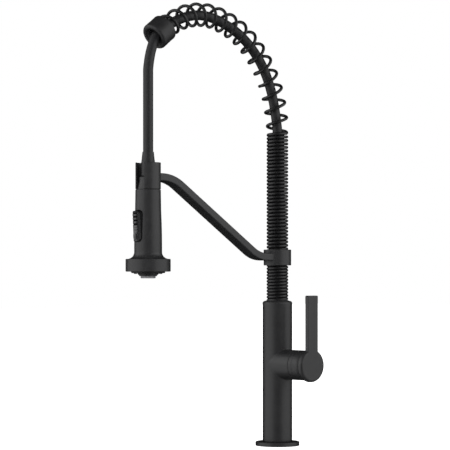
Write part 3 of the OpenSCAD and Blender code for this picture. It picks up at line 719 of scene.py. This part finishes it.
@dataclass
class SpringCoil:
    """The open coil: close turns up the riser and wide ones over the arch.

    It starts with most of a turn that lies on its seat and ends in a leg inside the end guide.
    Sizes are in millimetres. The pitch marks pair a count of turns with the length along the axis
    that they reach.
    """

    wire: float = 3.75
    leg: float = 3.4
    coil_r: float = 11.35
    swell: float = 1.2
    end_swell: float = 0.7
    dead_turns: float = 0.9
    lead_in: float = 1.2
    leg_turn: float = 8.0
    tail: float = 7.0
    seat_z: float = 172.9
    foot_lift: float = 0.75
    pitch_marks: tuple[Pair, ...] = (
        (10.7, 45.7), (14.9, 64.8), (47.9, 205), (56.2, 351.4), (59.2, 401.6))
    swell_marks: Pair = (205, 225)
    taper_marks: Pair = (45, 25)
    arch_start: float = 379.0
    guide_turn: float = 37.5
    turns: float = 63.5
    start_angle: float = 60.0
    per_turn: int = 28
    sides: int = 14
    arch_steps: int = 6
    arch: tuple[Pair, ...] = (
        (0, 379), (1, 393), (3, 406.4), (6.2, 420), (11, 433.6), (17.6, 447.2), (25.8, 460.2),
        (36.2, 473), (48.9, 485.5), (64.3, 496.4), (81.8, 504.8), (100.4, 510.6), (119, 513),
        (137.5, 511.4), (157, 505.5), (179.4, 493.9))

    def __post_init__(self) -> None:
        """Measures the coil's axis from the foot of its lower leg."""
        axis = spline(self.arch, self.arch_steps)
        self.foot = self.seat_z + self.foot_lift
        lengths = [self.arch_start - self.foot]
        for a, b in zip(axis, axis[1:]):
            lengths.append(lengths[-1] + math.dist(a, b))
        last = len(axis) - 1
        self.s_of = [(l, p[0]) for l, p in zip(lengths, axis)]
        self.z_of = [(l, p[1]) for l, p in zip(lengths, axis)]
        self.heading_of = []
        for i, l in enumerate(lengths):
            p, q = axis[max(i - 1, 0)], axis[min(i + 1, last)]
            self.heading_of.append((l, math.degrees(math.atan2(q[1] - p[1], q[0] - p[0]))))
        self.axis_end = lengths[-1]
        self.end = self.axis_end + self.tail
        self.table = [
            (0, self.leg + self.lead_in), *self.pitch_marks,
            (self.turns, self.end - self.leg - self.lead_in)]
        wide = self.coil_r + self.swell
        self.radius_of = [
            (self.swell_marks[0], self.coil_r), (self.swell_marks[1], wide),
            (self.end - self.taper_marks[0], wide),
            (self.end - self.taper_marks[1], self.coil_r + self.end_swell)]

    def on_axis(self, l: float) -> tuple[Pair, float]:
        """Finds the place and the heading of the axis.

        Args:
            l: Length along the axis in millimetres.

        Returns:
            The place in the spout's plane, and the slope in degrees.
        """
        if l <= self.arch_start - self.foot:
            return (0.0, self.foot + l), 90.0
        if l >= self.axis_end:
            turn, over = math.radians(self.guide_turn), l - self.axis_end
            reach, z = self.arch[-1]
            return (reach + over * math.cos(turn), z - over * math.sin(turn)), -self.guide_turn
        return (lookup(l, self.s_of), lookup(l, self.z_of)), lookup(l, self.heading_of)

    def spot(self, l: float, angle: float) -> Vector:
        """Finds the middle of the wire.

        Args:
            l: Length along the axis in millimetres.
            angle: Turn about the axis in degrees.

        Returns:
            The place in metres.
        """
        centre, slope = self.on_axis(l)
        h, a = math.radians(slope), math.radians(angle)
        out = math.cos(a) * Vector((1, 0, 0)) + math.sin(a) * Vector((0, math.sin(h), math.cos(h)))
        return in_spout_plane(centre) + lookup(l, self.radius_of) * MM * out

    def route(self) -> list[Vector]:
        """Draws the wire from its cut end on the seat to the end of the leg in the guide.

        Returns:
            The places along the middle of the wire.
        """
        first = self.start_angle + self.leg_turn
        last = first + self.leg_turn + self.turns * 360
        steps = round(self.turns * self.per_turn)
        dead = round(self.dead_turns * self.per_turn)
        (_, start), (turn, reached) = self.table[:2]
        pitch = (reached - start) / turn
        foot = [
            self.spot(start + i * pitch / self.per_turn, first + i * 360 / self.per_turn)
            for i in range(-dead, 0)]
        body = [
            self.spot(lookup(i / self.per_turn, self.table), first + i * 360 / self.per_turn)
            for i in range(steps + 1)]
        return foot + body + [self.spot(self.end - self.leg, last), self.spot(self.end, last)]

    def build(self) -> bpy.types.Object:
        """Makes the coil and puts it in the place of the plain one.

        Returns:
            The coil.
        """
        wire = Tube(self.route(), self.wire / 2 * MM, self.sides)
        coil = wire.build("spring_wire", Slot.COIL, COATED_WIRE)
        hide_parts("coil_spring")
        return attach(coil, Body.SPOUT.value)


@dataclass
class SprayHose:
    """The hose from below the deck, through the coil and out of the end guide to the head.

    Sizes are in millimetres. The mouth marks are lengths along the end guide, each with how far
    the hose has sagged below the guide's axis.
    """

    radius: float = 5.85
    reach: float = 204.4
    side_x: float = -6.5
    shank_len: float = 46.0
    cut_z: float = 142.0
    gap: float = 0.6
    drop_bottom: float = 344.0
    bend_start: float = 440.0
    bend_end: float = 350.0
    sides: int = 24
    steps: int = 5
    drop_steps: int = 6
    arch: tuple[Pair, ...] = (
        (0, 379), (1.7, 393), (4.2, 406.2), (7.5, 419.8), (12, 433.4), (18.2, 447), (26, 460),
        (36.4, 472.6), (49.4, 484.7), (65, 495.3), (82.3, 503.3), (100.7, 509.3), (119, 512.1),
        (137.3, 510.8), (157, 505), (179.4, 493.9))
    guide_len: float = 21.4
    guide_turn: float = 37.5
    body_bend: tuple[Pair, ...] = (
        (-6, 106), (-4.7, 114), (-3, 121), (-1.4, 128), (-0.4, 134), (0, 139))
    body_marks: tuple[float, ...] = (20, 80, 98)
    riser_marks: tuple[float, ...] = (180, 220, 260, 300, 340)
    arch_tail: Pair = (9, 11)
    mouth_marks: tuple[Pair, ...] = ((10, 0.0), (12, 0.0), (16, 0.5), (20, 1.9))
    fall: tuple[Pair, ...] = (
        (196.2, 475.9), (198.3, 470.6), (200.6, 463.9), (202.3, 457), (203.6, 450))
    drop_marks: tuple[float, ...] = (443, 436, 420, 400, 380, 360)

    def _guide(self, along: float, sag: float = 0.0) -> Pair:
        """Finds a place in the end guide.

        Args:
            along: How far it is from the guide's socket.
            sag: How far it is below the guide's axis.

        Returns:
            Its distance from the column and its height.
        """
        turn = math.radians(self.guide_turn)
        reach, z = self.arch[-1]
        return (reach + along * math.cos(turn) - sag * math.sin(turn),
                z - along * math.sin(turn) - sag * math.cos(turn))

    def build(self) -> list[bpy.types.Object]:
        """Makes the hose in three stretches, parted where it is out of sight.

        Returns:
            The stretches, from the deck to the head.
        """
        low = [(self.side_x, z) for z in (-self.shank_len, *self.body_marks)]
        low += [*self.body_bend, (0, self.cut_z)]
        inner = [(0, z) for z in (self.cut_z + self.gap, *self.riser_marks)]
        inner += [*self.arch, *(self._guide(along) for along in self.arch_tail)]
        outer = [self._guide(along, sag) for along, sag in self.mouth_marks]
        outer += [*self.fall, *((self.reach, z) for z in (*self.drop_marks, self.drop_bottom))]
        supply = self._stretch(
            "hose_below", [Vector((x * MM, 0, z * MM)) for x, z in spline(low, self.steps)])
        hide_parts("hose_lower")
        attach(supply, Body.BASE.value)
        upper = self._stretch(
            "hose_in_arch", [in_spout_plane(p) for p in spline(inner, self.steps)])
        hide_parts("hose_upper")
        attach(upper, Body.SPOUT.value)
        drop = self._stretch(
            "hose_to_head", [in_spout_plane(p) for p in spline(outer, self.drop_steps)])
        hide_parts("hose_drop")
        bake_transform(drop)
        return [supply, upper, drop]

    def _stretch(self, name: str, route: list[Vector]) -> bpy.types.Object:
        """Makes one stretch of the hose along its route."""
        return Tube(route, self.radius * MM, self.sides).build(name, Slot.HOSE, HOSE_JACKET)


@dataclass
class RockerButton:
    """The spray button: a crowned pad with bold grooves, fine ones below them and a thumb rest.

    Sizes are in millimetres, with X across the pad, Z up it and depth measured out of the head. A
    groove's size is half its length, half its width and its depth. The thumb rest's size is half
    its width, half its height and its rise.
    """

    reach: float = 204.4
    pin_y: float = 11.0
    button_z: float = 264.0
    lean: float = 3.4
    width: float = 13.0
    height: float = 35.2
    corner: float = 4.6
    back: float = 1.0
    front: float = 9.8
    edge: float = 1.2
    brow: float = 2.6
    crown_r: float = 5.5
    crown_turn: float = 64.0
    bold_grooves: tuple[float, ...] = (14.8, 10.7, 6.5, 2.2)
    bold_size: tuple[float, float, float] = (4.6, 1.1, 2.0)
    fine_grooves: tuple[float, ...] = (0.1, -2.1, -5.4)
    fine_size: tuple[float, float, float] = (4.0, 0.7, 0.4)
    rest_z: float = -11.6
    rest_size: tuple[float, float, float] = (3.3, 4.6, 0.9)
    # Rim width and groove depth past which the pad takes the painted shade.
    shade_edge: float = 0.8
    shade_depth: float = 0.5
    barrel_r: float = 1.9
    barrel_len: float = 11.0
    finger_r: float = 1.6
    finger_len: float = 8.4
    finger_in: float = 3.2
    back_bevel: float = 0.3
    back_sides: int = 24
    columns: int = 44
    rows: int = 132

    def build(self) -> bpy.types.Object:
        """Makes the button and puts it in the place of the plain one.

        Returns:
            The button.
        """
        bm = bmesh.new()
        self._pad(bm)
        # Faces on the rim, the sides and in the bold grooves take the second finish, a painted
        # shade.
        for face in bm.faces:
            face.material_index = self._in_painted_shade(face.calc_center_median())
        self._back_parts(bm)
        place = Matrix.Translation((0, -(self.reach + self.pin_y) * MM, self.button_z * MM))
        lean = Matrix.Rotation(math.radians(self.lean), 4, "X")
        bmesh.ops.transform(bm, matrix=place @ lean @ Matrix.Scale(MM, 4), verts=bm.verts)
        bmesh.ops.recalc_face_normals(bm, faces=bm.faces)
        button = finish_piece("rocker_pad", bm, POLISHED_ABS.material(), sharp=60)
        # Second slot: the near-black painted shade of the rim, sides and grooves.
        button.data.materials.append(BUTTON_PAINTED_SHADE.material())
        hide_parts("rocker_button")
        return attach(button, Body.BUTTON.value)

    def _pad(self, bm: bmesh.types.BMesh) -> None:
        """Presses a grid over the outline and the relief, and closes it at the back.

        Args:
            bm: The shape that takes the pad.
        """
        grid = bmesh.ops.create_grid(bm, x_segments=self.columns, y_segments=self.rows, size=0.5)
        for vert in grid["verts"]:
            z = vert.co.y * self.height
            x = self._half_width(z) * math.sin(math.pi * vert.co.x)
            vert.co = x, -self._depth(x, z), z
        rim = bmesh.ops.extrude_edge_only(bm, edges=[e for e in bm.edges if e.is_boundary])
        for part in rim["geom"]:
            if isinstance(part, bmesh.types.BMVert):
                part.co.y = -self.back
        bmesh.ops.holes_fill(bm, edges=[e for e in bm.edges if e.is_boundary], sides=0)

    def _in_painted_shade(self, place: Vector) -> bool:
        """Tells whether a place on the pad takes the painted shade: the edge, the sides or a
        groove.

        Args:
            place: Middle of a face, before the pad is put into the head.

        Returns:
            True where the shade is painted.
        """
        x, z = place.x, place.z
        to_edge = min(self._half_width(z) - abs(x), self.height / 2 - abs(z))
        deepest = max(self._groove(x, z - at, self.bold_size) for at in self.bold_grooves)
        return to_edge < self.shade_edge or deepest > self.shade_depth

    def _half_width(self, z: float) -> float:
        """Gives half of the pad's width at a height."""
        past = max(abs(z) - (self.height / 2 - self.corner), 0)
        return self.width / 2 - self.corner + math.sqrt(max(self.corner ** 2 - past ** 2, 0))

    def _inside(self, x: float, z: float) -> float:
        """Measures how far a place is from the outline, with the sides let out by an edge's width.

        Args:
            x: Place across the pad.
            z: Place up the pad.

        Returns:
            The distance.
        """
        over_x = abs(x) - (self.width / 2 + self.edge - self.corner)
        over_z = abs(z) - (self.height / 2 - self.corner)
        if over_x > 0 and over_z > 0:
            return self.corner - math.hypot(over_x, over_z)
        return self.corner - max(over_x, over_z)

    def _depth(self, x: float, z: float) -> float:
        """Works out how far the pad stands out of the head.

        Args:
            x: Place across the pad.
            z: Place up the pad.

        Returns:
            The depth of the surface, with its rolled edge, ribs and thumb rest.
        """
        rolled = max(
            self._rolled(self._inside(x, z), self.edge),
            self._rolled(self.height / 2 - z, self.brow))
        grooves = [self._groove(x, z - at, self.bold_size) for at in self.bold_grooves]
        grooves += [self._groove(x, z - at, self.fine_size) for at in self.fine_grooves]
        depth = self.front - self._crown(abs(x)) - rolled - max(grooves)
        return depth + self._dome(x, z - self.rest_z)

    def _crown(self, x: float) -> float:
        """Works out the drop of the crown: round over the middle, and a straight slope outside it.

        Args:
            x: Distance from the pad's middle line.

        Returns:
            The drop.
        """
        turn = math.radians(self.crown_turn)
        bend = min(x, self.crown_r * math.sin(turn))
        round_part = self.crown_r - math.sqrt(self.crown_r ** 2 - bend ** 2)
        return round_part + (x - bend) * math.tan(turn)

    @staticmethod
    def _rolled(inside: float, radius: float) -> float:
        """Gives the drop of a rolled edge at a distance inside it."""
        t = min(max(inside / radius, 0), 1)
        return radius * (1 - math.sqrt(1 - (1 - t) ** 2))

    @staticmethod
    def _groove(x: float, z: float, size: tuple[float, float, float]) -> float:
        """Works out the depth of a V groove.

        Args:
            x: Place across the pad.
            z: Place up the pad, from the groove's middle.
            size: The groove's size.

        Returns:
            The depth, or 0 outside the groove.
        """
        half_x, half_z, deep = size
        ends = min(max(half_x - abs(x), 0) / half_z, 1)
        return deep * ends * max(1 - abs(z) / half_z, 0)

    def _dome(self, x: float, z: float) -> float:
        """Gives the rise of the thumb rest at a place measured from its middle."""
        half_x, half_z, rise = self.rest_size
        return rise * math.sqrt(max(1 - (x / half_x) ** 2 - (z / half_z) ** 2, 0))

    def _back_parts(self, bm: bmesh.types.BMesh) -> None:
        """Adds the pivot barrel and the finger that moves the spool.

        Args:
            bm: The shape that takes them.
        """
        across = Matrix.Rotation(math.radians(90), 4, "Y")
        inward = Matrix.Translation((0, self.finger_in, 0)) @ Matrix.Rotation(
            math.radians(90), 4, "X")
        barrel = self.barrel_r, self.barrel_len, across
        finger = self.finger_r, self.finger_len, inward
        for radius, depth, turn in (barrel, finger):
            part = bmesh.ops.create_cone(
                bm, cap_ends=True, segments=self.back_sides, radius1=radius, radius2=radius,
                depth=depth, matrix=turn)
            rims = {e for v in part["verts"] for e in v.link_edges if e.calc_face_angle(0) > 1}
            bmesh.ops.bevel(
                bm, geom=list(rims), offset=self.back_bevel, segments=2, profile=0.5,
                affect="EDGES", material=-1)


@dataclass
class SprayFace:
    """The soft nozzles of the spray and the screen in the stream's outlet, in millimetres."""

    reach: float = 204.4
    face_z: float = 209.9
    nubs: int = 24
    circle_r: float = 15.6
    tip_r: float = 0.62
    root_r: float = 0.9
    nub_len: float = 0.99
    nub_sides: int = 14
    lip: float = 0.16
    hole_taper: float = 0.03
    hole_depth: float = 0.3
    nozzle_bottom: float = 203.9
    screen_in: float = 2.0
    screen_r: float = 6.2
    screen_cells: int = 14
    screen_trim: float = 0.3
    screen_wire: float = 0.28

    def build(self) -> list[bpy.types.Object]:
        """Makes the nozzles and the screen.

        Returns:
            Both pieces.
        """
        return [self._nozzles(), self._screen()]

    def _nozzles(self) -> bpy.types.Object:
        """Moulds one round nozzle with its hole and spins it round the face.

        Returns:
            The nozzles.
        """
        bm = bmesh.new()
        bmesh.ops.create_cone(
            bm, cap_ends=True, segments=self.nub_sides, radius1=self.tip_r, radius2=self.root_r,
            depth=self.nub_len, matrix=Matrix.Translation((0, 0, -self.nub_len / 2)))
        low = min(bm.faces, key=lambda f: f.calc_center_median().z)
        bmesh.ops.bevel(
            bm, geom=list(low.edges), offset=self.lip, segments=2, profile=0.5, affect="EDGES",
            material=-1)
        low = min(bm.faces, key=lambda f: f.calc_center_median().z)
        for thickness, depth in ((self.lip, 0.0), (self.hole_taper, -self.hole_depth)):
            bmesh.ops.inset_region(
                bm, faces=[low], thickness=thickness, depth=depth, use_even_offset=True)
        half_step = Matrix.Rotation(math.pi / self.nubs, 4, "Z")
        out = half_step @ Matrix.Translation((self.circle_r, 0, 0))
        bmesh.ops.transform(bm, matrix=out, verts=bm.verts)
        bmesh.ops.spin(
            bm, geom=bm.verts[:] + bm.edges[:] + bm.faces[:], cent=(0, 0, 0), axis=(0, 0, 1),
            angle=math.tau * (self.nubs - 1) / self.nubs, steps=self.nubs - 1,
            use_duplicate=True)
        place = Matrix.Translation(in_spout_plane((self.reach, self.face_z)))
        bmesh.ops.transform(bm, matrix=place @ Matrix.Scale(MM, 4), verts=bm.verts)
        bmesh.ops.recalc_face_normals(bm, faces=bm.faces)
        nozzles = finish_piece("spray_tips", bm, BLACK_SILICONE.material())
        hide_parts("spray_nubs")
        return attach(nozzles, Body.HEAD.value)

    def _screen(self) -> bpy.types.Object:
        """Cuts a round of crossed wires for the outlet.

        Returns:
            The screen.
        """
        bm = bmesh.new()
        bmesh.ops.create_grid(
            bm, x_segments=self.screen_cells, y_segments=self.screen_cells, size=self.screen_r)
        far = self.screen_r - self.screen_trim
        out = [f for f in bm.faces if f.calc_center_median().length > far]
        bmesh.ops.delete(bm, geom=out, context="FACES")
        bmesh.ops.wireframe(
            bm, faces=bm.faces, thickness=self.screen_wire, offset=0, use_replace=True,
            use_boundary=True, use_even_offset=True)
        place = Matrix.Translation(
            in_spout_plane((self.reach, self.nozzle_bottom + self.screen_in)))
        bmesh.ops.transform(bm, matrix=place @ Matrix.Scale(MM, 4), verts=bm.verts)
        outward(bm)
        screen = finish_piece("stream_screen", bm, DRAWN_STEEL.material())
        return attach(screen, Body.HEAD.value)


@dataclass
class Ring:
    """A soft ring turned from a profile of radius and height in millimetres."""

    name: str
    body: Body
    profile: tuple[Pair, ...]
    place: Matrix
    slot: Slot
    finish: Finish
    sides: int = 72

    def build(self) -> bpy.types.Object:
        """Spins the profile round its axis.

        Returns:
            The ring.
        """
        bm = bmesh.new()
        verts = [bm.verts.new((r, 0, z)) for r, z in self.profile]
        edges = [bm.edges.new(pair) for pair in zip(verts, verts[1:] + verts[:1])]
        bmesh.ops.spin(
            bm, geom=verts + edges, cent=(0, 0, 0), axis=(0, 0, 1), angle=math.tau,
            steps=self.sides, use_merge=True, use_duplicate=False)
        bmesh.ops.transform(bm, matrix=self.place @ Matrix.Scale(MM, 4), verts=bm.verts)
        outward(bm)
        ring = finish_piece(self.name, bm, self.finish.material())
        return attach(ring, self.body.value)


@dataclass
class SoftRings:
    """The seal in the head's seam, and the grommet that lines and laps the end guide's mouth.

    The seal's profile holds radius and height. The grommet's holds radius and the distance past
    the guide's end: first the funnel inside, then the lap over the lip and back along the bore.
    """

    seal: tuple[Pair, ...] = ((15.2, 228.87), (17.35, 228.87), (17.35, 229.03), (15.2, 229.03))
    grommet: tuple[Pair, ...] = (
        (9.1, -9), (9.1, -4.1), (9.2, -3.7), (9.5, -3.3), (12.5, 0.1), (12.8, 0.27),
        (13.1, 0.25), (13.1, 0.02), (12.4, 0.02), (11.4, -0.38), (10.95, -1.4), (10.9, -9))

    def build(self, hose: SprayHose) -> list[bpy.types.Object]:
        """Turns both rings.

        Args:
            hose: Hose that runs through both, whose route places them.

        Returns:
            The rings.
        """
        head = Matrix.Translation(in_spout_plane((hose.reach, 0.0)))
        tilt = Matrix.Rotation(math.radians(90 + hose.guide_turn), 4, "X")
        mouth = Matrix.Translation(in_spout_plane(hose.arch[-1])) @ tilt
        lining = tuple((r, hose.guide_len + past) for r, past in self.grommet)
        return [
            Ring("seam_seal", Body.HEAD, self.seal, head, Slot.RUBBER, PRESSED_RUBBER).build(),
            Ring("mouth_grommet", Body.SPOUT, lining, mouth, Slot.RUBBER, MOULDED_ABS).build(),
        ]


@dataclass
class Castings:
    """The rigid parts that keep the construction's own shape and take their finish here."""

    own: tuple[tuple[str, Finish], ...] = (
        ("column_body", COLUMN_COAT), ("riser_tube", BLACKENED_BRASS), ("end_guide", GLASS_NYLON),
        ("guide_liner", GLASS_NYLON), ("hose_nut", GLASS_NYLON))

    def dress(self) -> int:
        """Gives every rigid part its own finish, or else that of its slot.

        Returns:
            How many parts were dressed.
        """
        parts = frame["record"]["subparts"]
        slots = {part["node"]: part["material_slot"] for part in parts}
        own = dict(self.own)
        for name, part in frame["nodes"].items():
            finish = own.get(name, FINISH_OF_SLOT[slots[name]])
            material = finish.material()
            for place in part.material_slots:
                place.material = material
        return len(frame["nodes"])


def report(pieces: Iterable[bpy.types.Object]) -> None:
    """Logs the name and the size of each piece."""
    for piece in pieces:
        LOG.info("%s: %d faces", piece.name, len(piece.data.polygons))


def main() -> None:
    """Builds the studio and the faucet's pieces in order."""
    logging.basicConfig(level=logging.INFO, format="%(name)s %(message)s")
    bpy.context.scene.view_settings.view_transform = "Standard"
    camera = Camera()
    camera.build()
    LOG.info("dressed %d rigid parts", Castings().dress())
    report([SpringCoil().build()])
    hose = SprayHose()
    report(hose.build())
    report([RockerButton().build()])
    report(SprayFace().build())
    report(SoftRings().build(hose))
    Studio().build(camera)


if __name__ == "__main__":
    main()
